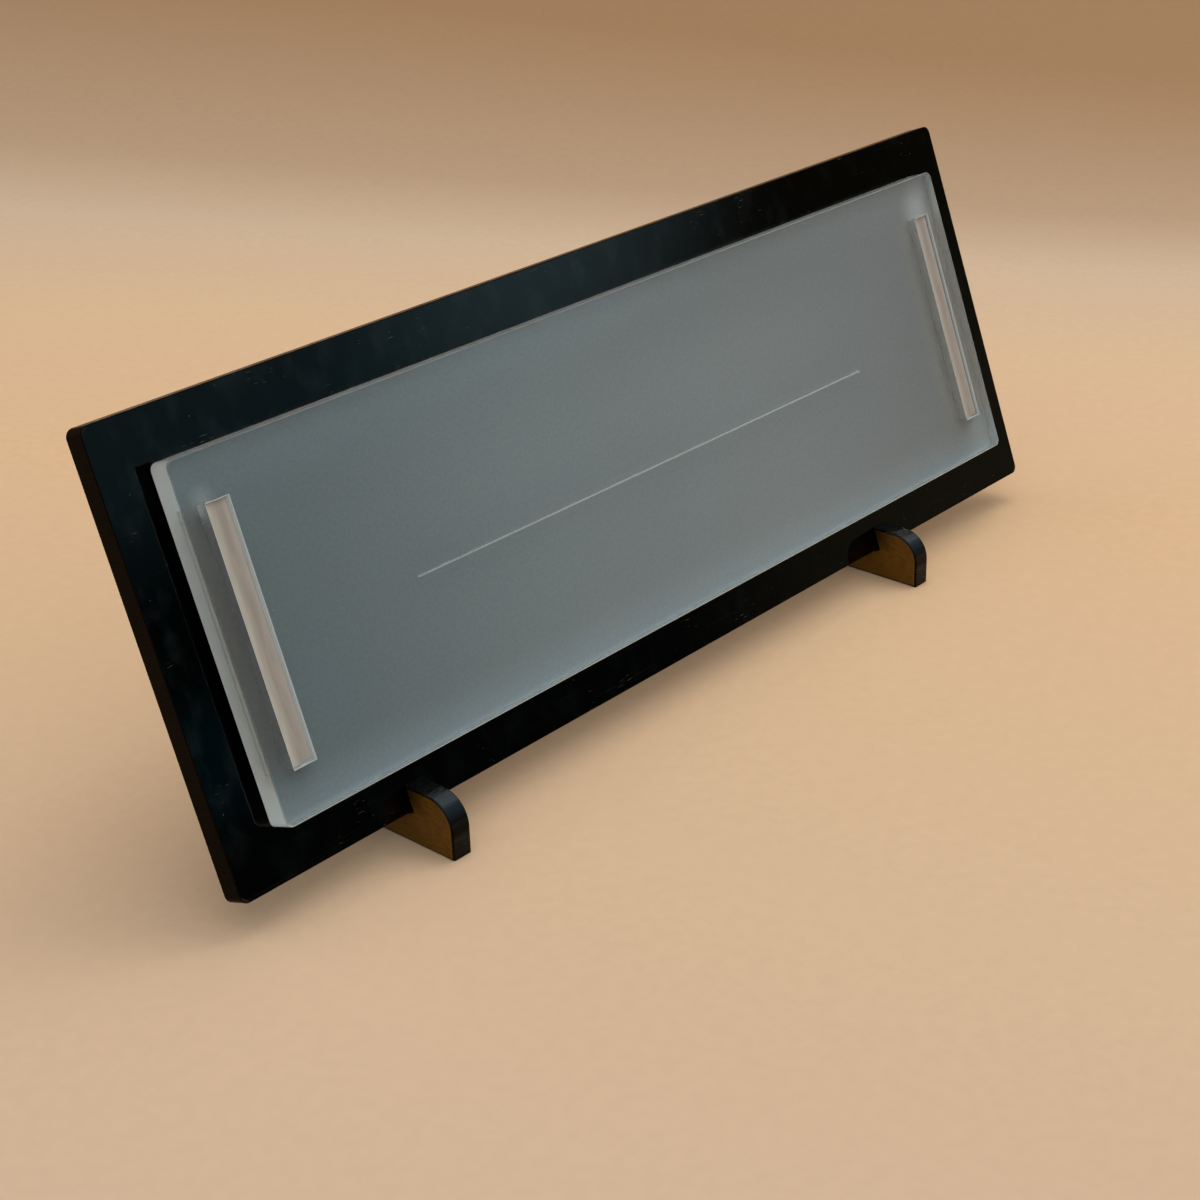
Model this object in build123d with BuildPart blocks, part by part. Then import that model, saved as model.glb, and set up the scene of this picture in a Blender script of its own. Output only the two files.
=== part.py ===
"""Desk name plate: a black sheet leaning back in two slotted feet, with a frosted panel keyed to its front.

All sizes are in millimetres. X runs along the plate, Y points to the back and Z is up.
The origin is on the desk, under the middle of the plate and midway along the feet.
"""

import os
from math import cos, radians, sin

from build123d import *

# Backing plate, a cut sheet that leans back
plate_width = 200.0
plate_height = 70.0
plate_thickness = 3.8
plate_corner_radius = 1.4
lean_angle = 20.0

# Front panel, set in from the plate's outline
panel_end_margin = 8.6
panel_long_margin = 7.9
panel_thickness = 4.0
panel_corner_radius = 1.2

# Engraved rule across the panel's front, a little below its middle
rule_end_inset = 35.6
rule_drop = 2.0
rule_width = 0.5
rule_depth = 0.25

# Keys, bars that go through the panel and the plate near each end of the panel
key_thickness = 3.8
key_length = 39.2
key_recess = 0.5
key_clearance = 0.05
slot_web = 4.2

# Feet, flat bars on edge with a slanted slot for the plate's lower edge
foot_thickness = 3.7
foot_height = 9.4
foot_front_reach = 8.4
foot_rear_reach = 32.6
foot_corner_radius = 4.8
seat_height = 5.5
seat_clearance = 0.05
left_foot_inset = 34.7
right_foot_inset = 45.6

# Sizes that follow from the ones above
panel_width = plate_width - 2 * panel_end_margin
panel_height = plate_height - 2 * panel_long_margin
key_slot_width = key_thickness + 2 * key_clearance
key_slot_length = key_length + 2 * key_clearance
key_x = panel_width / 2 - slot_web - key_slot_width / 2
key_depth = panel_thickness + plate_thickness - key_recess
foot_length = foot_front_reach + foot_rear_reach
foot_slot_width = plate_thickness + 2 * seat_clearance
plate_edge_y = foot_front_reach - foot_length / 2
lean_sin = sin(radians(lean_angle))
lean_cos = cos(radians(lean_angle))

# The plate's front face: origin at the middle of its lower edge, local Y up the slope, local Z out of the front
plate_front = Plane(
    origin=(0, plate_edge_y, seat_height),
    x_dir=(1, 0, 0),
    z_dir=(0, -lean_cos, lean_sin),
)
plate_back = plate_front.offset(-plate_thickness)
panel_front = plate_front.offset(panel_thickness)
face_middle = plate_height / 2
key_places = [(-key_x, face_middle), (key_x, face_middle)]

os.makedirs("parts", exist_ok=True)

# Backing plate, with the two key slots cut through it
with BuildPart() as backing_plate:
    with BuildSketch(plate_back):
        with Locations((0, face_middle)):
            RectangleRounded(plate_width, plate_height, plate_corner_radius)
        with Locations(*key_places):
            Rectangle(key_slot_width, key_slot_length, mode=Mode.SUBTRACT)
    extrude(amount=plate_thickness)

backing_plate.part.label = "backing_plate"
export_step(backing_plate.part, "parts/backing_plate.step")

# Front panel, with the same two slots and the engraved rule
with BuildPart() as front_panel:
    with BuildSketch(plate_front):
        with Locations((0, face_middle)):
            RectangleRounded(panel_width, panel_height, panel_corner_radius)
        with Locations(*key_places):
            Rectangle(key_slot_width, key_slot_length, mode=Mode.SUBTRACT)
    extrude(amount=panel_thickness)
    with BuildSketch(panel_front):
        with Locations((0, face_middle - rule_drop)):
            SlotOverall(panel_width - 2 * rule_end_inset, rule_width)
    extrude(amount=-rule_depth, mode=Mode.SUBTRACT)

front_panel.part.label = "front_panel"
export_step(front_panel.part, "parts/front_panel.step")

# Keys, flush with the back of the plate and sunk below the front of the panel
for key_name, key_place in zip(("left_key", "right_key"), key_places):
    with BuildPart() as key:
        with BuildSketch(plate_back):
            with Locations(key_place):
                Rectangle(key_thickness, key_length)
        extrude(amount=key_depth)

    key.part.label = key_name
    export_step(key.part, f"parts/{key_name}.step")

# Feet, each with both upper corners rounded and a slot square to the leaning plate
foot_places = {
    "left_foot": -plate_width / 2 + left_foot_inset,
    "right_foot": plate_width / 2 - right_foot_inset,
}
slot_corner_y = plate_edge_y - seat_clearance * (lean_cos + lean_sin)
slot_corner_z = seat_height + seat_clearance * (lean_sin - lean_cos)
slot_cut_length = (foot_height + foot_slot_width) / lean_cos

for foot_name, foot_x in foot_places.items():
    with BuildPart() as foot:
        with BuildSketch(Plane.YZ.offset(foot_x - foot_thickness / 2)) as profile:
            Rectangle(foot_length, foot_height, align=(Align.CENTER, Align.MIN))
            fillet(profile.vertices().group_by(Axis.Y)[-1], foot_corner_radius)
            with Locations((slot_corner_y, slot_corner_z)):
                Rectangle(
                    foot_slot_width,
                    slot_cut_length,
                    rotation=-lean_angle,
                    align=(Align.MIN, Align.MIN),
                    mode=Mode.SUBTRACT,
                )
        extrude(amount=foot_thickness)

    foot.part.label = foot_name
    export_step(foot.part, f"parts/{foot_name}.step")
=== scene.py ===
"""Looks of a desk name plate: a frosted panel, keyed to a black sheet that leans in two board feet.

Lengths are in metres, in the row frame: X along the plate, Y to the back and Z up. A sheet is built
in its own plane, with u and v across its face and w through its thickness, and then put in place by
a matrix. Textures are sized in millimetres of that plane, and colours are linear RGB.
"""

import math
from collections import namedtuple

import bmesh
import bpy
from mathutils import Matrix, Vector


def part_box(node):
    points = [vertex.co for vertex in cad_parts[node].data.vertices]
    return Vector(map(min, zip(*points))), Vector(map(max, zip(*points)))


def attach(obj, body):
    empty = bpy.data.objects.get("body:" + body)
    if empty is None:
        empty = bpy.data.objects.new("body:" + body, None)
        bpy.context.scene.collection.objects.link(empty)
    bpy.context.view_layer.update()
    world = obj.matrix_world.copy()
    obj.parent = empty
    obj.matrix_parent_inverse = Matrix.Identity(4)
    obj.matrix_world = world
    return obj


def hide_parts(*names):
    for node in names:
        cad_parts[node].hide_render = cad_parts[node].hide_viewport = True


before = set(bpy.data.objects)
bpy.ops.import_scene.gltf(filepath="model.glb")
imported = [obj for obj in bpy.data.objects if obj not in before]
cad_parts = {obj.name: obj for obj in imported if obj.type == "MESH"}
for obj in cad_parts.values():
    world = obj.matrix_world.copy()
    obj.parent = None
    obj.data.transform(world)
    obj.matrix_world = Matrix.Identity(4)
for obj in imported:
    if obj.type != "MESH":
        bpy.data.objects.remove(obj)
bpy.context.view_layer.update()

MM = 0.001

# Sizes of the cut sheets that the frame's boxes don't give
LEAN = math.radians(20.0)
LEAN_SIN = math.sin(LEAN)
LEAN_COS = math.cos(LEAN)
PLATE_CORNER = 1.4 * MM
PANEL_CORNER = 1.2 * MM
FOOT_CORNER = 4.8 * MM
KEY_CLEARANCE = 0.05 * MM
SEAT_CLEARANCE = 0.05 * MM

# Gap behind the panel, so that its back doesn't lie in the plate's front
AIR_GAP = 0.02 * MM

# Engraved rule across the panel's front, with a dot at its right end. The taper is how far the sides of
# the groove lean in, as a share of its depth
RULE_END_INSET = 35.6 * MM
RULE_DROP = 2.0 * MM
RULE_WIDTH = 0.5 * MM
RULE_DEPTH = 0.25 * MM
RULE_DOT = 1.0 * MM
GROOVE_TAPER = 1 / 3

# How far the cut edges are rounded, and in how many steps
ACRYLIC_EDGE = 0.15 * MM
PANEL_FRONT_EDGE = 0.22 * MM
SHARP_EDGE = 0.01 * MM
KEY_EDGE = 0.1 * MM
BOARD_EDGE = 0.3 * MM
ARC_STEPS = 12
EDGE_STEPS = 3

# How strongly large faces flatten the shading of the edges beside them
FACE_WEIGHT = 80

# Camera, as found from the photograph's perspective
CAMERA_PLACE = Vector((-0.26058, -0.22741, 0.17859))
CAMERA_YAW = math.radians(47.677)
CAMERA_PITCH = math.radians(-25.774)
CAMERA_ROLL = math.radians(-1.778)
CAMERA_LENS = 67.32
CAMERA_SENSOR = 36.0
CAMERA_CLIP = 0.01
AHEAD = Vector((math.sin(CAMERA_YAW), math.cos(CAMERA_YAW), 0))
ASIDE = Vector((AHEAD.y, -AHEAD.x, 0))

# Floor that sweeps up into a backdrop
SWEEP_START = 0.24
SWEEP_RADIUS = 0.6
SWEEP_HEIGHT = 2.0
SWEEP_STEPS = 30
FLOOR_REACH = 1.2

# The darkening towards the back is painted shade, and the greyer band at 235 mm is a painted sheen
# Colours of the paper by the distance ahead in millimetres, along a line turned a little to the right
PAPER = [
    (-150, (0.675, 0.487, 0.335)),
    (70, (0.76, 0.512, 0.308)),
    (160, (0.74, 0.515, 0.328)),
    (235, (0.65, 0.49, 0.345)),
    (285, (0.5, 0.348, 0.23)),
    (400, (0.38, 0.226, 0.12)),
]
PAPER_TURN = math.radians(15.0)

# Lamp up on the right, which faces the origin
WINDOW_PLACE = Vector((0.7, 0.15, 1.1))
WINDOW_SIZE = 1.2
WINDOW_POWER = 8.4
WINDOW_COLOUR = (1, 0.96, 0.9)

# Light of the room by the sine of its elevation, and its strength
SKY = [
    (0.0, (0.02, 0.022, 0.02)),
    (0.15, (0.012, 0.03, 0.03)),
    (0.2, (0.105, 0.215, 0.247)),
    (0.35, (0.25, 0.3, 0.32)),
    (0.6, (0.62, 0.65, 0.67)),
    (1.0, (1.0, 0.98, 0.95)),
]
SKY_STRENGTH = 1.25

# Lights low in the room, and the wall that is seen behind the object
GLIMPSE = (0.24, 0.36, 0.38)
COOL_SIDE = (0.004, 0.062, 0.088)
WARM_SIDE = (0.12, 0.1, 0.06)
FAR_WALL = (0.55, 0.42, 0.3)

# Black acrylic. A pair of colours, here and below, is the darkest and lightest of a grain
BLACK = (0.0001, 0.0001, 0.0001)
# The haze is in part a painted reflection of bluish light
HAZE_AND_REFLECTION = (0.005, 0.007, 0.0078)
DUST = (0.05, 0.052, 0.05)
LINT = (0.07, 0.075, 0.075)
# Brown of the cut edge, a painted reflection of the warm floor
FLOOR_REFLECTION_CUT = [(0.0022, 0.0011, 0.0004), (0.0085, 0.0042, 0.0016)]

# Clear acrylic
ACRYLIC_IOR = 1.49
CLEAR = (0.95, 0.98, 0.98)
CLEAR_EDGE = (0.93, 0.96, 0.97)
# Whitened front edges of the panel, which are a painted glow
EDGE_GLOW = [(0.58, 0.65, 0.67), (0.72, 0.8, 0.82)]
RULE = (0.44, 0.5, 0.52)

# Frost on the back of the panel, with painted light, glow and shade
# Lighter to the right, which is painted light
FROST_LEFT = (0.27, 0.34, 0.375)
FROST_RIGHT = (0.415, 0.447, 0.472)
FROST_LOW_GLOW = (0.58, 0.74, 0.85)
FROST_RIM_GLOW = (0.8, 0.92, 0.98)
FROST_CORNER_GLOW = (0.8, 0.95, 1)
FROST_SLOT_GLOW = (0.9, 0.93, 0.93)
FROST_SPECK = (0.5, 0.52, 0.52)
LEFT_SHADE = (0.25, 0.26, 0.26)
RIGHT_SHADE = (0.48, 0.49, 0.48)
SHEEN = (0.96, 1, 1)
# Pale diffuse seen flat near the lower edge, a painted glow
SOFT_GLOW = (0.93, 1, 1)

# Keys, whose faces have painted shade in their middles from the walls of the recess
KEY_LEFT = (0.58, 0.55, 0.5)
KEY_SHADED_MIDDLE = (0.39, 0.345, 0.305)
KEY_RIGHT = (0.48, 0.455, 0.42)
KEY_SIDE = [(0.72, 0.73, 0.72), (0.84, 0.85, 0.83)]

# Board
FIBRES = [(0.106, 0.046, 0.0035), (0.175, 0.079, 0.008)]
BLOTCH = (0.133, 0.059, 0.0045)
PORE = (0.07, 0.03, 0.003)
SLOT_DARKENING = (0.025, 0.01, 0.0008)
CHARRED_CUT = [(0.0008, 0.0006, 0.0004), (0.004, 0.003, 0.002)]
SOOT = (0.002, 0.0014, 0.0009)
# Bluish tint of the char's gloss, a painted reflection of bluish light from above
CHAR_GLOSS = (0.5, 0.8, 1)

# Where nearly all values of a noise lie
NOISE_SPAN = (0.3, 0.7)

# The size of a cut sheet, and the matrix that puts its own plane in place
Sheet = namedtuple("Sheet", "width height thickness place")


# Outlines, as lists of points that run anticlockwise

def arc(centre, radius, start, end, steps=ARC_STEPS):
    """Points of an arc between two angles in degrees."""
    angles = [math.radians(start + (end - start) * i / steps) for i in range(steps + 1)]
    return [(centre[0] + radius * math.cos(a), centre[1] + radius * math.sin(a)) for a in angles]


def rounded_rectangle(low, high, radius):
    """A rectangle between two corners, with round corners."""
    left, bottom = low[0] + radius, low[1] + radius
    right, top = high[0] - radius, high[1] - radius
    return (
        arc((right, bottom), radius, -90, 0)
        + arc((right, top), radius, 0, 90)
        + arc((left, top), radius, 90, 180)
        + arc((left, bottom), radius, 180, 270)
    )


def rectangle(low, high):
    """A rectangle between two corners."""
    return [low, (high[0], low[1]), high, (low[0], high[1])]


def ruled_line(centre, length, width, dot):
    """A line along u with a round left end, and a dot of a larger width at its right end."""
    reach = length / 2 - width / 2
    turn = math.degrees(math.asin(width / dot))
    right = arc((centre[0] + reach, centre[1]), dot / 2, turn - 180, 180 - turn)
    left = arc((centre[0] - reach, centre[1]), width / 2, 90, 270)
    return right + left


def inset(points, distance):
    """The outline moved inwards by a distance, or outwards if it runs clockwise."""
    moved = []
    for before, point, after in zip(points[-1:] + points[:-1], points, points[1:] + points[:1]):
        a = (Vector(point) - Vector(before)).normalized()
        b = (Vector(after) - Vector(point)).normalized()
        inwards = Vector((-a.y - b.y, a.x + b.x)) / (1 + a.dot(b))
        moved.append(tuple(Vector(point) + distance * inwards))
    return moved


# Meshes

def ring(bm, points, w):
    """Vertices of an outline at a height."""
    return [bm.verts.new((u, v, w)) for u, v in points]


def pairs(verts):
    """Each vertex of a ring with the next one."""
    return list(zip(verts, verts[1:] + verts[:1]))


def add_wall(bm, low, high, material):
    """Joins two rings of as many points with a band of faces."""
    for (a, b), (d, c) in zip(pairs(low), pairs(high)):
        bm.faces.new((a, b, c, d)).material_index = material


def add_cap(bm, rings, material):
    """Fills the flat face between an outer ring and the rings of its holes."""
    edges = [bm.edges.get(pair) or bm.edges.new(pair) for verts in rings for pair in pairs(verts)]
    filled = bmesh.ops.triangle_fill(bm, edges=edges, use_beauty=True)
    for face in filled["geom"]:
        if isinstance(face, bmesh.types.BMFace):
            face.material_index = material


def add_cut(bm, loop, profile, bands):
    """Walls along a loop, with a material for each band. Gives their back and front rings."""
    rings = [ring(bm, inset(loop, out), w) for out, w in profile]
    for low, high, material in zip(rings, rings[1:], bands):
        add_wall(bm, low, high, material)
    return rings[0], rings[-1]


def add_groove(bm, outline, depth, top, material):
    """A groove with sloping sides, down from a height. Gives the ring of its mouth."""
    mouth = ring(bm, outline, top)
    bed = ring(bm, inset(outline, depth * GROOVE_TAPER), top - depth)
    add_wall(bm, bed, mouth, material)
    add_cap(bm, [bed], material)
    return mouth


def edge_profile(thickness, back_radius, front_radius):
    """Pairs of inset and height that round both edges of a sheet, from its back to its front."""
    turns = [math.radians(90 * i / EDGE_STEPS) for i in range(EDGE_STEPS + 1)]
    rounding = [(1 - math.sin(t), 1 - math.cos(t)) for t in turns]
    back = [(back_radius * out, back_radius * up) for out, up in rounding]
    front = [(front_radius * out, thickness - front_radius * up) for out, up in rounding]
    return back + front[::-1]


def add_object(name, data):
    """A new object in the scene."""
    made = bpy.data.objects.new(name, data)
    bpy.context.scene.collection.objects.link(made)
    return made


def add_piece(name, bm, materials, place):
    """Turns a bmesh into an object that is shaded smooth on its edges and flat on its large faces."""
    bmesh.ops.recalc_face_normals(bm, faces=bm.faces)
    for face in bm.faces:
        face.smooth = True
    mesh = bpy.data.meshes.new(name)
    bm.to_mesh(mesh)
    bm.free()
    for material in materials:
        mesh.materials.append(material)
    piece = add_object(name, mesh)
    piece.matrix_world = place
    piece.modifiers.new("flat_faces", "WEIGHTED_NORMAL").weight = FACE_WEIGHT
    return piece


def cut_sheet(name, sheet, outline, holes, radii, materials, mouth=0, groove=None):
    """A sheet cut to an outline, with holes, rounded edges and, if given, a groove in its front.

    The radii are those of the back and front edges. The mouth is how deep the front of each hole has
    a material of its own, and the groove is an outline and a depth. The materials are given by the
    names back, front, cut, edge and, where they are needed, mouth and groove.
    """
    index = {part: i for i, part in enumerate(materials)}
    bm = bmesh.new()
    profile = edge_profile(sheet.thickness, *radii)
    # The back's rounding and the wall share a material, and the front's rounding has another
    walls = [index["cut"]] * (EDGE_STEPS + 1)
    edges = [index["edge"]] * EDGE_STEPS
    cuts = [add_cut(bm, outline, profile, walls + edges)]
    if mouth:
        profile.insert(EDGE_STEPS + 1, (0, sheet.thickness - mouth))
        edges = [index["mouth"]] * (EDGE_STEPS + 1)
    cuts += [add_cut(bm, hole[::-1], profile, walls + edges) for hole in holes]
    back_rings, front_rings = map(list, zip(*cuts))
    if groove:
        front_rings.append(add_groove(bm, *groove, sheet.thickness, index["groove"]))
    add_cap(bm, back_rings, index["back"])
    add_cap(bm, front_rings, index["front"])
    return add_piece(name, bm, materials.values(), sheet.place)


def settle(piece, body, node):
    """Puts a finished piece on its body, in place of its CAD node."""
    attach(piece, body)
    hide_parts(node)


# Places, read from the frame

def axes_matrix(u, v, w, origin):
    """The matrix of a frame with three axes and an origin."""
    return Matrix.Translation(origin) @ Matrix((u, v, w)).transposed().to_4x4()


def leaning_sheet(node):
    """Size and place of a leaning sheet. The place is the middle of its lower back edge."""
    low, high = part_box(node)
    size = high - low
    # The box is height * cos + thickness * sin high, and height * sin + thickness * cos deep
    share = LEAN_COS**2 - LEAN_SIN**2
    height = (size.z * LEAN_COS - size.y * LEAN_SIN) / share
    thickness = (size.y * LEAN_COS - size.z * LEAN_SIN) / share
    u, v, w = (1, 0, 0), (0, LEAN_SIN, LEAN_COS), (0, -LEAN_COS, LEAN_SIN)
    back_edge = Vector(((low.x + high.x) / 2, low.y + thickness * LEAN_COS, low.z))
    return Sheet(size.x, height, thickness, axes_matrix(u, v, w, back_edge))


def corners_on(sheet, other, margin=0):
    """Lower left and upper right corners of another sheet on a sheet's face, widened by a margin."""
    start = sheet.place.inverted() @ other.place.translation
    low = (start.x - other.width / 2 - margin, start.y - margin)
    high = (start.x + other.width / 2 + margin, start.y + other.height + margin)
    return low, high


def millimetres(low, high):
    """Left, bottom, right and top of a rectangle between two corners, in millimetres."""
    return [length / MM for length in (*low, *high)]


PLATE = leaning_sheet("backing_plate")
PANEL = leaning_sheet("front_panel")
LEFT_KEY = leaning_sheet("left_key")
RIGHT_KEY = leaning_sheet("right_key")
KEY_RECESS = PLATE.thickness + PANEL.thickness - RIGHT_KEY.thickness
FOOT_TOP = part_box("left_foot")[1].z

# The plate's lower back edge, the way up its slope and the way to its back, in the plane of a foot
PLATE_EDGE = Vector(PLATE.place.translation.yz)
SLOPE_UP = Vector((LEAN_SIN, LEAN_COS))
SLOPE_BACK = Vector((LEAN_COS, -LEAN_SIN))

# Right side and top of the panel in its own plane, in millimetres
PANEL_SIDE = PANEL.width / 2 / MM
PANEL_TOP = PANEL.height / MM

# Sides and ends of its right slot, in millimetres. The left slot is the mirror image
RIGHT_SLOT = corners_on(PANEL, RIGHT_KEY, KEY_CLEARANCE)
SLOT_INNER, SLOT_BOTTOM, SLOT_OUTER, SLOT_TOP = millimetres(*RIGHT_SLOT)


# Shader nodes

def put(tree, socket, value):
    """Links an input socket to an output, or sets its plain value. Colours are opaque."""
    if isinstance(value, bpy.types.NodeSocket):
        tree.links.new(value, socket)
    elif socket.type == "RGBA":
        socket.default_value = (*value, 1)
    else:
        socket.default_value = value


def add_node(tree, kind, inputs=None, **settings):
    """A shader node with its settings, and with inputs given by their names or numbers."""
    made = tree.nodes.new("ShaderNode" + kind)
    for key, value in settings.items():
        setattr(made, key, value)
    for key, value in (inputs or {}).items():
        put(tree, made.inputs[key], value)
    return made


def feed(tree, node, **inputs):
    """Gives a node its inputs, by their names with underscores for spaces."""
    for key, value in inputs.items():
        put(tree, node.inputs[key.replace("_", " ")], value)


def new_material(name):
    """A material with one Principled shader."""
    material = bpy.data.materials.new(name)
    material.use_nodes = True
    return material, material.node_tree, material.node_tree.nodes["Principled BSDF"]


def own_place(tree, stretch=(1, 1, 1)):
    """The piece's own u, v and w in millimetres, each times its stretch."""
    place = add_node(tree, "TexCoord").outputs["Object"]
    scale = tuple(s / MM for s in stretch)
    return add_node(tree, "VectorMath", {0: place, 1: scale}, operation="MULTIPLY").outputs[0]


def own_axes(tree):
    """The piece's own u, v and w in millimetres, as three values."""
    return add_node(tree, "SeparateXYZ", {"Vector": own_place(tree)}).outputs


def way_along(tree, direction):
    """How far along a direction of the piece's own axes a point lies, in millimetres."""
    inputs = {0: own_place(tree), 1: direction}
    return add_node(tree, "VectorMath", inputs, operation="DOT_PRODUCT").outputs["Value"]


def noise(tree, size, stretch=(1, 1, 1), detail=3.0):
    """Noise round 0.5 with patches of a size in millimetres, drawn out where the stretch is small."""
    inputs = {"Vector": own_place(tree, stretch), "Scale": 1 / size, "Detail": detail}
    return add_node(tree, "TexNoise", inputs).outputs["Fac"]


def striations(tree, size, draw, detail=4.0):
    """Noise drawn out through the thickness of a sheet, as a laser's cut leaves it."""
    return noise(tree, size, (1, 1, draw), detail)


def rise(tree, value, span, levels=(0.0, 1.0), shape="SMOOTHSTEP"):
    """Goes from the first level to the second as the value goes through the span."""
    inputs = {"Value": value, "From Min": span[0], "From Max": span[1]}
    inputs.update({"To Min": levels[0], "To Max": levels[1]})
    return add_node(tree, "MapRange", inputs, interpolation_type=shape).outputs["Result"]


def maths(tree, operation, *values):
    """The result of a Math node."""
    return add_node(tree, "Math", dict(enumerate(values)), operation=operation).outputs[0]


def times(tree, first, *others):
    """The product of values."""
    for other in others:
        first = maths(tree, "MULTIPLY", first, other)
    return first


def larger(tree, first, second):
    """The larger of two values."""
    return maths(tree, "MAXIMUM", first, second)


def between(tree, value, rising, falling):
    """Rises from 0 to 1 through one span of the value, and falls to 0 through another."""
    return times(tree, rise(tree, value, rising), rise(tree, value, falling))


def blend(tree, share, first, second, how="MIX"):
    """Goes from the first colour to the second with the share."""
    # The Mix node's colours are its inputs 6 and 7 and its output 2
    inputs = {0: share, 6: first, 7: second}
    return add_node(tree, "Mix", inputs, data_type="RGBA", blend_type=how).outputs[2]


def scaled(tree, colour, level):
    """A colour times a level."""
    return blend(tree, 1.0, colour, level, "MULTIPLY")


def mottled(tree, colour, size, levels):
    """A colour made a little darker and lighter by fine noise."""
    return scaled(tree, colour, rise(tree, noise(tree, size, detail=5), NOISE_SPAN, levels))


def colour_ramp(tree, value, stops):
    """Goes through the colours of (value, colour) stops between 0 and 1."""
    made = add_node(tree, "ValToRGB", {"Fac": value})
    for _ in stops[2:]:
        made.color_ramp.elements.new(0.5)
    for element, (position, colour) in zip(made.color_ramp.elements, stops):
        element.position = position
        element.color = (*colour, 1)
    return made.outputs["Color"]


def specks(tree, spacing, size):
    """1 on scattered round specks up to a size, and 0 elsewhere."""
    cells = add_node(tree, "TexVoronoi", {"Vector": own_place(tree), "Scale": 1 / spacing})
    radius = size / spacing / 2
    return rise(tree, cells.outputs["Distance"], (radius, radius / 2))


def spot(tree, u, v, reach):
    """1 at a point of the face in millimetres, fading to 0 at a reach from it."""
    inputs = {0: own_place(tree, (1, 1, 0)), 1: (u, v, 0)}
    away = add_node(tree, "VectorMath", inputs, operation="DISTANCE").outputs["Value"]
    return rise(tree, away, (reach, 0))


def hairlines(tree, angle, length, spacing, rarity=0.7, softness=0.04):
    """1 on fine scratches that run across the face at an angle in degrees, and 0 elsewhere."""
    inputs = {
        "Vector": own_place(tree),
        "Rotation": (0, 0, math.radians(angle)),
        "Scale": (1 / length, 1 / spacing, 1),
    }
    turned = add_node(tree, "Mapping", inputs).outputs["Vector"]
    grain = add_node(tree, "TexNoise", {"Vector": turned, "Scale": 1, "Detail": 1}).outputs["Fac"]
    return rise(tree, grain, (rarity, rarity + softness))


def bump(tree, shader, height, depth):
    """Raises the surface with the height, by up to a depth in millimetres."""
    made = add_node(tree, "Bump", {"Height": height, "Strength": 1, "Distance": depth * MM})
    feed(tree, shader, Normal=made.outputs["Normal"])


def mix_shaders(tree, share, first, second):
    """Goes from the first shader to the second with the share."""
    return add_node(tree, "MixShader", {0: share, 1: first.outputs[0], 2: second.outputs[0]})


# Materials

def painted_shade_strip(tree, u, v, w):
    """1 in a narrow strip of painted shade on the plate beside the panel's left end, and 0 elsewhere.
    """
    left, bottom, _, top = millimetres(*corners_on(PLATE, PANEL))
    beside = between(tree, u, (left - 2.4, left - 2), (left + 1, left))
    level = between(tree, v, (bottom, bottom + 3), (top + 0.5, top + 0.2))
    return times(tree, beside, level, rise(tree, w, (1, 3)))


def lint(tree):
    """1 on short fine strands that lie in patches, and 0 elsewhere."""
    strands = larger(
        tree,
        hairlines(tree, angle=60, length=2.5, spacing=0.14, rarity=0.72),
        hairlines(tree, angle=-25, length=2, spacing=0.14, rarity=0.72),
    )
    return times(tree, strands, rise(tree, noise(tree, 7), (0.58, 0.64)))


def make_black_face():
    """Polished black acrylic, with a faint haze, wiping marks in its gloss, hairlines, dust and lint.

    The haze, in part a painted reflection of bluish light, fades downwards and to the right. The
    strip beside the panel is painted shade: it has no haze, and its gloss is dull.
    """
    material, tree, shader = new_material("black_face")
    u, v, w = own_axes(tree)
    # A strip of painted shade beside the panel, with no haze and a dull gloss
    strip = painted_shade_strip(tree, u, v, w)
    # The haze, in part a painted reflection, fades down and to the right
    fading_down = rise(tree, v, (14, 2), (1, 0.3))
    fading_right = rise(tree, u, (10, 80), (1, 0.25))
    clouds = rise(tree, noise(tree, 4, stretch=(1, 0.6, 1), detail=7), (0.46, 0.72))
    haze = times(tree, clouds, fading_down, fading_right, rise(tree, strip, (0, 1), (1, 0)))
    ground = blend(tree, haze, BLACK, HAZE_AND_REFLECTION)
    ground = blend(tree, specks(tree, spacing=2.6, size=0.26), ground, DUST)
    wiping = noise(tree, 14, stretch=(1, 0.4, 1), detail=5)
    polish = rise(tree, wiping, (0.4, 0.7), (0.01, 0.04))
    scratches = hairlines(tree, angle=35, length=30, spacing=0.12)
    feed(tree, shader,
         Base_Color=blend(tree, lint(tree), ground, LINT),
         Specular_IOR_Level=rise(tree, strip, (0, 1), (0.3, 0.03)),
         Roughness=rise(tree, scratches, (0, 1), (polish, 0.2)))
    bump(tree, shader, noise(tree, 30, detail=1), depth=0.02)
    return material


def make_black_cut():
    """The laser-cut edge of black acrylic, with striations, in a brown that is a painted reflection."""
    material, tree, shader = new_material("black_cut")
    lines = striations(tree, 0.35, draw=0.06)
    feed(tree, shader,
         Base_Color=blend(tree, lines, *FLOOR_REFLECTION_CUT),
         Specular_IOR_Level=0.015,
         Roughness=rise(tree, lines, NOISE_SPAN, (0.16, 0.34)))
    bump(tree, shader, lines, depth=0.004)
    return material


def make_clear_face():
    """Polished clear acrylic with faint smears and a few hairline scratches."""
    material, tree, shader = new_material("clear_face")
    smears = noise(tree, 11, stretch=(0.5, 1, 1), detail=5)
    polish = rise(tree, smears, (0.4, 0.7), (0.015, 0.05))
    scratches = hairlines(tree, angle=-20, length=40, spacing=0.15)
    feed(tree, shader,
         Base_Color=CLEAR,
         IOR=ACRYLIC_IOR,
         Transmission_Weight=1.0,
         Roughness=rise(tree, scratches, (0, 1), (polish, 0.12)))
    return material


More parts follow.
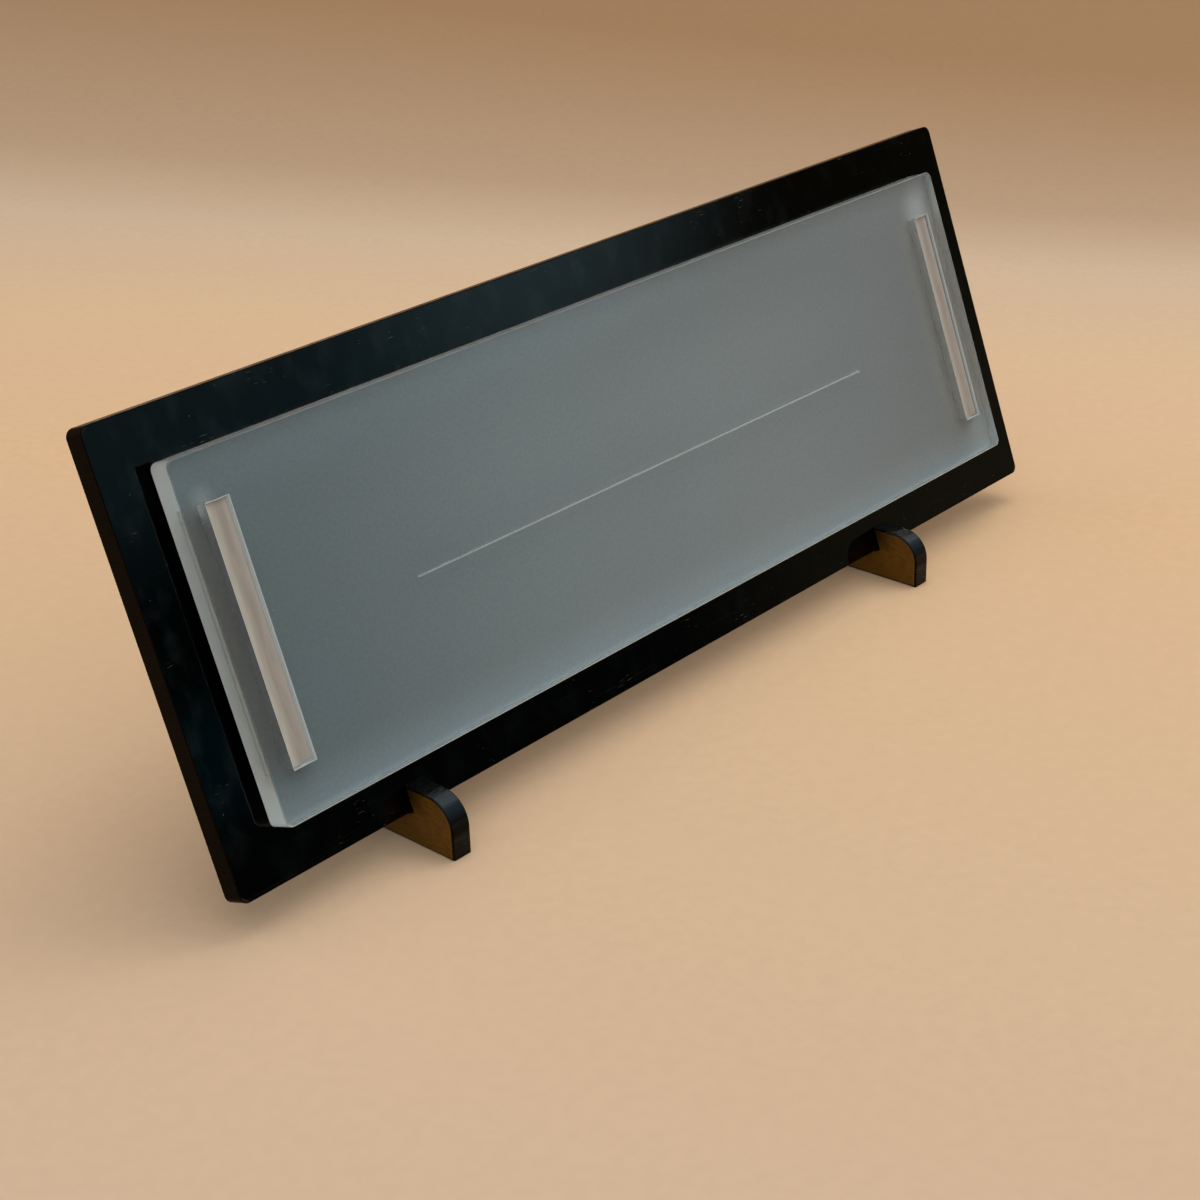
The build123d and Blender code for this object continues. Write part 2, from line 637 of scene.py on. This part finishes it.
def make_clear_cut():
    """The laser-cut edge of clear acrylic, flame-bright, with faint striations across the sheet.

    At the upper end of the left slot it is whitened, which is a painted glow.
    """
    material, tree, shader = new_material("clear_cut")
    # Painted glow at the upper end of the left slot
    slot_top_glow = spot(tree, 0.7 - SLOT_OUTER, SLOT_TOP, reach=4)
    lines = striations(tree, 0.15, draw=0.05, detail=3)
    feed(tree, shader,
         Base_Color=CLEAR,
         IOR=ACRYLIC_IOR,
         Transmission_Weight=rise(tree, slot_top_glow, (0, 1), (1, 0.45)),
         Roughness=rise(tree, lines, NOISE_SPAN, (0.07, 0.12)))
    return material


def make_clear_edge():
    """The front edge of a cut in the panel: whitened below and at the slots, a painted glow, else
    clear.
    """
    material, tree, shader = new_material("clear_edge")
    u, v, _ = own_axes(tree)
    ends = rise(tree, maths(tree, "ABSOLUTE", u), (PANEL_SIDE - 1, PANEL_SIDE - 0.5))
    top = rise(tree, v, (PANEL_TOP - 3, PANEL_TOP - 1))
    above_bottom = rise(tree, v, (0.3, 1))
    # The lower edge and the slots' mouths keep the painted glow
    clear = times(tree, larger(tree, ends, top), above_bottom)
    grain = striations(tree, 0.15, draw=0.2, detail=3)
    feed(tree, shader,
         Base_Color=blend(tree, clear, blend(tree, grain, *EDGE_GLOW), CLEAR_EDGE),
         IOR=ACRYLIC_IOR,
         Transmission_Weight=rise(tree, clear, (0, 1), (0.25, 1)),
         Roughness=rise(tree, grain, NOISE_SPAN, (0.35, 0.5)))
    return material


def frost_ground(tree, u, v):
    """Frost with painted light, lighter to the right and in its middle, and glowing near its lower
    edge.
    """
    to_right = rise(tree, u, (-PANEL_SIDE, PANEL_SIDE), shape="LINEAR")
    inwards = rise(tree, maths(tree, "ABSOLUTE", u), (PANEL_SIDE, 0.2 * PANEL_SIDE))
    downwards = rise(tree, v, (PANEL_TOP, 0.65 * PANEL_TOP))
    middle = times(tree, inwards, downwards)
    lightness = rise(tree, middle, (0, 1), (0.98, 1.25), shape="LINEAR")
    ground = scaled(tree, blend(tree, to_right, FROST_LEFT, FROST_RIGHT), lightness)
    # Painted glow near the lower edge, strongest at its rim
    low = rise(tree, v, (8, -1), (0, 0.4))
    rim_glow = rise(tree, v, (1, 0), (0, 0.3))
    return blend(tree, rim_glow, blend(tree, low, ground, FROST_LOW_GLOW), FROST_RIM_GLOW)


def shade_slots(tree, u, v, ground):
    """Painted shade on the frost beside the slots, most so on the left."""
    lower_end = (SLOT_BOTTOM - 2.5, SLOT_BOTTOM + 3.5)
    upper_end = (SLOT_TOP + 2.5, SLOT_TOP - 3.5)
    level = between(tree, v, lower_end, upper_end)
    left = times(tree, rise(tree, u, (-SLOT_INNER, -SLOT_OUTER)), level)
    right = times(tree, rise(tree, u, (SLOT_INNER - 6.3, SLOT_INNER - 1.5)), level)
    ground = blend(tree, left, ground, LEFT_SHADE)
    return blend(tree, right, ground, RIGHT_SHADE)


def lighten_spots(tree, u, v, ground):
    """Painted glow on the frost in its lower right corner, and at the upper ends of the slots."""
    # Painted glow in the lower right corner and at the tops of the slots
    to_right = rise(tree, u, (PANEL_SIDE - 10, PANEL_SIDE - 3))
    corner = times(tree, to_right, rise(tree, v, (11, 4)), 0.2)
    ground = blend(tree, corner, ground, FROST_CORNER_GLOW)
    left_glow = times(tree, spot(tree, 1.2 - SLOT_OUTER, SLOT_TOP + 0.5, reach=3), 0.3)
    right_glow = times(tree, spot(tree, SLOT_OUTER - 0.4, SLOT_TOP + 1, reach=6), 0.6)
    return blend(tree, larger(tree, left_glow, right_glow), ground, FROST_SLOT_GLOW)


def make_frost():
    """The panel's frosted back, which is matt face on and has a pale sheen when it is seen flat.

    Near the lower edge the sheen gives way to a pale diffuse, which is a painted glow.
    """
    material, tree, shader = new_material("frost")
    u, v, _ = own_axes(tree)
    ground = frost_ground(tree, u, v)
    ground = shade_slots(tree, u, v, ground)
    ground = lighten_spots(tree, u, v, ground)
    ground = mottled(tree, ground, 0.6, (0.95, 1.04))
    ground = blend(tree, specks(tree, spacing=4, size=0.3), ground, FROST_SPECK)
    feed(tree, shader, Base_Color=ground, Roughness=0.8)
    glossy = add_node(tree, "BsdfAnisotropic", {"Color": SHEEN, "Roughness": 0.75})
    # Near the lower edge a pale diffuse is painted glow, seen flat
    soft = add_node(tree, "BsdfDiffuse", {"Color": SOFT_GLOW})
    low = rise(tree, v, (10, 1))
    sheen = mix_shaders(tree, low, glossy, soft)
    facing = add_node(tree, "LayerWeight", {"Blend": 0.5}).outputs["Facing"]
    seen_flat = rise(tree, facing, (0.2, 0.5))
    surface = mix_shaders(tree, seen_flat, shader, sheen)
    feed(tree, tree.nodes["Material Output"], Surface=surface.outputs[0])
    return material


def make_rule_frost():
    """The engraved rule, a finely pitted white groove."""
    material, tree, shader = new_material("rule_frost")
    feed(tree, shader, Base_Color=mottled(tree, RULE, 0.3, (0.85, 1.1)), Roughness=0.7)
    bump(tree, shader, noise(tree, 0.2), depth=0.02)
    return material


def make_key_face():
    """The pale face of a key with soft streaks, and painted shade in its middle; its left edge is
    lightest.
    """
    material, tree, shader = new_material("key_face")
    u = own_axes(tree)["X"]
    side = RIGHT_KEY.width / 2 / MM
    # Painted shade in the middle of the face, lighter to both sides, most to the left
    ground = blend(tree, rise(tree, u, (-side, 0.1)), KEY_LEFT, KEY_SHADED_MIDDLE)
    ground = blend(tree, rise(tree, u, (0.3, side - 0.2)), ground, KEY_RIGHT)
    streaks = noise(tree, 0.8, stretch=(1, 0.15, 1), detail=4)
    feed(tree, shader,
         Base_Color=scaled(tree, ground, rise(tree, streaks, NOISE_SPAN, (0.93, 1.06))),
         Specular_IOR_Level=0.3,
         Roughness=rise(tree, noise(tree, 1.5), NOISE_SPAN, (0.35, 0.55)))
    bump(tree, shader, noise(tree, 0.3, stretch=(1, 0.2, 1), detail=4), depth=0.004)
    return material


def make_key_side():
    """The cut sides of a key, with striations through its depth."""
    material, tree, shader = new_material("key_side")
    lines = striations(tree, 0.4, draw=0.06)
    feed(tree, shader,
         Base_Color=blend(tree, lines, *KEY_SIDE),
         Roughness=rise(tree, lines, NOISE_SPAN, (0.3, 0.5)))
    bump(tree, shader, lines, depth=0.006)
    return material


def make_board_face():
    """Brown fibre board, with fine fibres, soft blotches and pores, darker at the slot's mouth."""
    material, tree, shader = new_material("board_face")
    fibres = rise(tree, noise(tree, 0.5, stretch=(0.3, 1, 1), detail=6), NOISE_SPAN)
    ground = blend(tree, fibres, *FIBRES)
    ground = blend(tree, rise(tree, noise(tree, 6), (0.35, 0.65)), ground, BLOTCH)
    ground = blend(tree, specks(tree, spacing=0.9, size=0.35), ground, PORE)
    slot_middle = (SLOPE_BACK.dot(PLATE_EDGE) - PLATE.thickness / 2) / MM
    from_slot = maths(tree, "SUBTRACT", way_along(tree, SLOPE_BACK.to_3d()), slot_middle)
    near_slot = rise(tree, maths(tree, "ABSOLUTE", from_slot), (7, 2), (0, 0.95))
    top = FOOT_TOP / MM
    near_top = rise(tree, own_axes(tree)["Y"], (top - 5, top - 1))
    darker_at_slot = times(tree, near_slot, near_top)
    feed(tree, shader,
         Base_Color=blend(tree, darker_at_slot, ground, SLOT_DARKENING),
         Specular_IOR_Level=0.15,
         Roughness=rise(tree, fibres, (0, 1), (0.7, 0.5)))
    bump(tree, shader, fibres, depth=0.015)
    return material


def make_board_cut():
    """The charred edge of laser-cut board, with soot and striations, shinier on its round corners."""
    material, tree, shader = new_material("board_cut")
    lines = striations(tree, 0.3, draw=0.08)
    soot = rise(tree, noise(tree, 1.5, detail=4), (0.4, 0.6))
    corner = (FOOT_TOP - FOOT_CORNER) / MM
    gloss = rise(tree, own_axes(tree)["Y"], (corner - 0.1, corner + 2.9), (0.05, 0.28))
    feed(tree, shader,
         Base_Color=blend(tree, soot, blend(tree, lines, *CHARRED_CUT), SOOT),
         Specular_IOR_Level=gloss,
         Specular_Tint=CHAR_GLOSS,
         Roughness=rise(tree, lines, NOISE_SPAN, (0.2, 0.34)))
    bump(tree, shader, lines, depth=0.005)
    return material


def make_paper():
    """Pale paper with a faint grain, darkened towards the back by painted shade."""
    material, tree, shader = new_material("paper")
    angle = CAMERA_YAW + PAPER_TURN
    away = way_along(tree, (math.sin(angle), math.cos(angle), 0))
    start, end = PAPER[0][0], PAPER[-1][0]
    stops = [((distance - start) / (end - start), colour) for distance, colour in PAPER]
    ground = colour_ramp(tree, rise(tree, away, (start, end), shape="LINEAR"), stops)
    feed(tree, shader,
         Base_Color=mottled(tree, ground, 2.5, (0.985, 1.015)),
         Specular_IOR_Level=0.1,
         Roughness=0.9)
    return material


# Pieces

def sheet_outline(sheet, corner):
    """A leaning sheet's outline, with round corners."""
    return rounded_rectangle((-sheet.width / 2, 0), (sheet.width / 2, sheet.height), corner)


def key_holes(sheet):
    """The outlines of the keys' holes in a leaning sheet."""
    return [rectangle(*corners_on(sheet, key, KEY_CLEARANCE)) for key in (LEFT_KEY, RIGHT_KEY)]


def make_plate():
    """The black plate, with a hole for each key."""
    face, cut = make_black_face(), make_black_cut()
    outline = sheet_outline(PLATE, PLATE_CORNER)
    radii = (ACRYLIC_EDGE, ACRYLIC_EDGE)
    materials = dict(back=face, front=face, cut=cut, edge=cut)
    piece = cut_sheet("black_plate", PLATE, outline, key_holes(PLATE), radii, materials)
    settle(piece, "plate", "backing_plate")


def make_panel():
    """The clear panel, a hair in front of the plate, with the engraved rule and the keys' holes."""
    sheet = PANEL._replace(
        thickness=PANEL.thickness - AIR_GAP,
        place=PANEL.place @ Matrix.Translation((0, 0, AIR_GAP)),
    )
    outline = sheet_outline(sheet, PANEL_CORNER)
    rule_middle = (0, sheet.height / 2 - RULE_DROP)
    rule = ruled_line(rule_middle, sheet.width - 2 * RULE_END_INSET, RULE_WIDTH, RULE_DOT)
    edge = make_clear_edge()
    materials = dict(
        back=make_frost(),
        front=make_clear_face(),
        cut=make_clear_cut(),
        edge=edge,
        mouth=edge,
        groove=make_rule_frost(),
    )
    radii = (SHARP_EDGE, PANEL_FRONT_EDGE)
    piece = cut_sheet("clear_panel", sheet, outline, key_holes(sheet), radii, materials,
                      mouth=KEY_RECESS, groove=(rule, RULE_DEPTH))
    settle(piece, "plate", "front_panel")


def make_key(node, sheet, face, side):
    """A key, the bar that goes through the panel and the plate."""
    outline = rectangle((-sheet.width / 2, 0), (sheet.width / 2, sheet.height))
    materials = dict(back=face, front=face, cut=side, edge=face)
    piece = cut_sheet(node + "_bar", sheet, outline, [], (KEY_EDGE, KEY_EDGE), materials)
    settle(piece, "plate", node)


def foot_outline(low, high):
    """A foot's outline between the corners of its box, with round upper corners and the slot."""
    seat_back = PLATE_EDGE + SEAT_CLEARANCE * (SLOPE_BACK - SLOPE_UP)
    seat_front = seat_back - (PLATE.thickness + 2 * SEAT_CLEARANCE) * SLOPE_BACK
    slot_back = seat_back + SLOPE_UP * (high.z - seat_back.y) / LEAN_COS
    slot_front = seat_front + SLOPE_UP * (high.z - seat_front.y) / LEAN_COS
    corner_height = high.z - FOOT_CORNER
    return (
        [(low.y, low.z), (high.y, low.z)]
        + arc((high.y - FOOT_CORNER, corner_height), FOOT_CORNER, 0, 90)
        + [tuple(point) for point in (slot_back, seat_back, seat_front, slot_front)]
        + arc((low.y + FOOT_CORNER, corner_height), FOOT_CORNER, 90, 180)
    )


def make_foot(node, face, cut):
    """A foot of board. Its u runs to the back, its v up and its w to the right."""
    low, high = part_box(node)
    size = high - low
    place = axes_matrix((0, 1, 0), (0, 0, 1), (1, 0, 0), Vector((low.x, 0, 0)))
    sheet = Sheet(size.y, size.z, size.x, place)
    radii = (BOARD_EDGE, BOARD_EDGE)
    materials = dict(back=face, front=face, cut=cut, edge=cut)
    piece = cut_sheet(node + "_board", sheet, foot_outline(low, high), [], radii, materials)
    settle(piece, node, node)


make_plate()
make_panel()

key_face, key_side = make_key_face(), make_key_side()
for key_node, key_sheet in (("left_key", LEFT_KEY), ("right_key", RIGHT_KEY)):
    make_key(key_node, key_sheet, key_face, key_side)

board_face, board_cut = make_board_face(), make_board_cut()
for foot_node in ("left_foot", "right_foot"):
    make_foot(foot_node, board_face, board_cut)


# Stage, camera and light

def make_stage():
    """A floor that sweeps up into a backdrop, square to the camera's heading."""
    bend = arc((SWEEP_START, SWEEP_RADIUS), SWEEP_RADIUS, -90, 0, SWEEP_STEPS)
    profile = [(-FLOOR_REACH, 0)] + bend + [(bend[-1][0], SWEEP_HEIGHT)]
    sides = (-FLOOR_REACH * ASIDE, FLOOR_REACH * ASIDE)
    verts = [AHEAD * d + Vector((0, 0, z)) + side for d, z in profile for side in sides]
    faces = [(2 * i, 2 * i + 1, 2 * i + 3, 2 * i + 2) for i in range(len(profile) - 1)]
    mesh = bpy.data.meshes.new("stage")
    mesh.from_pydata(verts, [], faces)
    for polygon in mesh.polygons:
        polygon.use_smooth = True
    mesh.materials.append(make_paper())
    stage = add_object("stage", mesh)


def make_camera():
    """A camera at the photograph's viewing angle."""
    data = bpy.data.cameras.new("camera")
    data.lens = CAMERA_LENS
    data.sensor_width = CAMERA_SENSOR
    data.clip_start = CAMERA_CLIP
    ahead = AHEAD * math.cos(CAMERA_PITCH) + Vector((0, 0, math.sin(CAMERA_PITCH)))
    upright = ASIDE.cross(ahead)
    right = ASIDE * math.cos(CAMERA_ROLL) + upright * math.sin(CAMERA_ROLL)
    up = upright * math.cos(CAMERA_ROLL) - ASIDE * math.sin(CAMERA_ROLL)
    camera = add_object("camera", data)
    camera.matrix_world = axes_matrix(right, up, -ahead, CAMERA_PLACE)
    bpy.context.scene.camera = camera


def make_window():
    """A large soft lamp that faces the origin."""
    data = bpy.data.lights.new("window", "AREA")
    data.size = WINDOW_SIZE
    data.energy = WINDOW_POWER
    data.color = WINDOW_COLOUR
    lamp = add_object("window", data)
    turn = WINDOW_PLACE.to_track_quat("Z", "Y").to_matrix().to_4x4()
    lamp.matrix_world = Matrix.Translation(WINDOW_PLACE) @ turn


def room_light(tree, x, z):
    """The room's light by the x and z of its direction, soft from above.

    A bluish glimpse of a window and a dim warm side lie low on the right, and a cool gleam lies low
    everywhere else.
    """
    light = colour_ramp(tree, z, SKY)
    warm = scaled(tree, WARM_SIDE, rise(tree, z, (0.02, 0.16), (1, 0.35)))
    low_right = times(tree, rise(tree, x, (0.67, 0.76)), rise(tree, z, (0.32, 0.2)))
    light = blend(tree, low_right, light, warm)
    across = between(tree, x, (0.6, 0.69), (0.77, 0.7))
    glimpse = times(tree, across, between(tree, z, (0.13, 0.19), (0.5, 0.35)))
    light = blend(tree, glimpse, light, GLIMPSE, "ADD")
    gleam = times(tree, rise(tree, x, (0.6, 0.54)), between(tree, z, (0.04, 0.07), (0.12, 0.09)))
    return blend(tree, gleam, light, COOL_SIDE, "ADD")


def make_world():
    """The room. The camera sees a pale wall all round, and glass and gloss see it at the back."""
    world = bpy.data.worlds.new("soft_room")
    bpy.context.scene.world = world
    world.use_nodes = True
    tree = world.node_tree
    direction = add_node(tree, "TexCoord").outputs["Generated"]
    x, y, z = add_node(tree, "SeparateXYZ", {"Vector": direction}).outputs
    ray = add_node(tree, "LightPath").outputs
    by_gloss_or_glass = larger(tree, ray["Is Glossy Ray"], ray["Is Transmission Ray"])
    behind = times(tree, by_gloss_or_glass, rise(tree, y, (0, 0.2)))
    seen = larger(tree, ray["Is Camera Ray"], behind)
    feed(tree, tree.nodes["Background"],
         Color=blend(tree, seen, room_light(tree, x, z), FAR_WALL),
         Strength=SKY_STRENGTH)


make_stage()
make_camera()
make_window()
make_world()
bpy.context.scene.view_settings.view_transform = "Standard"
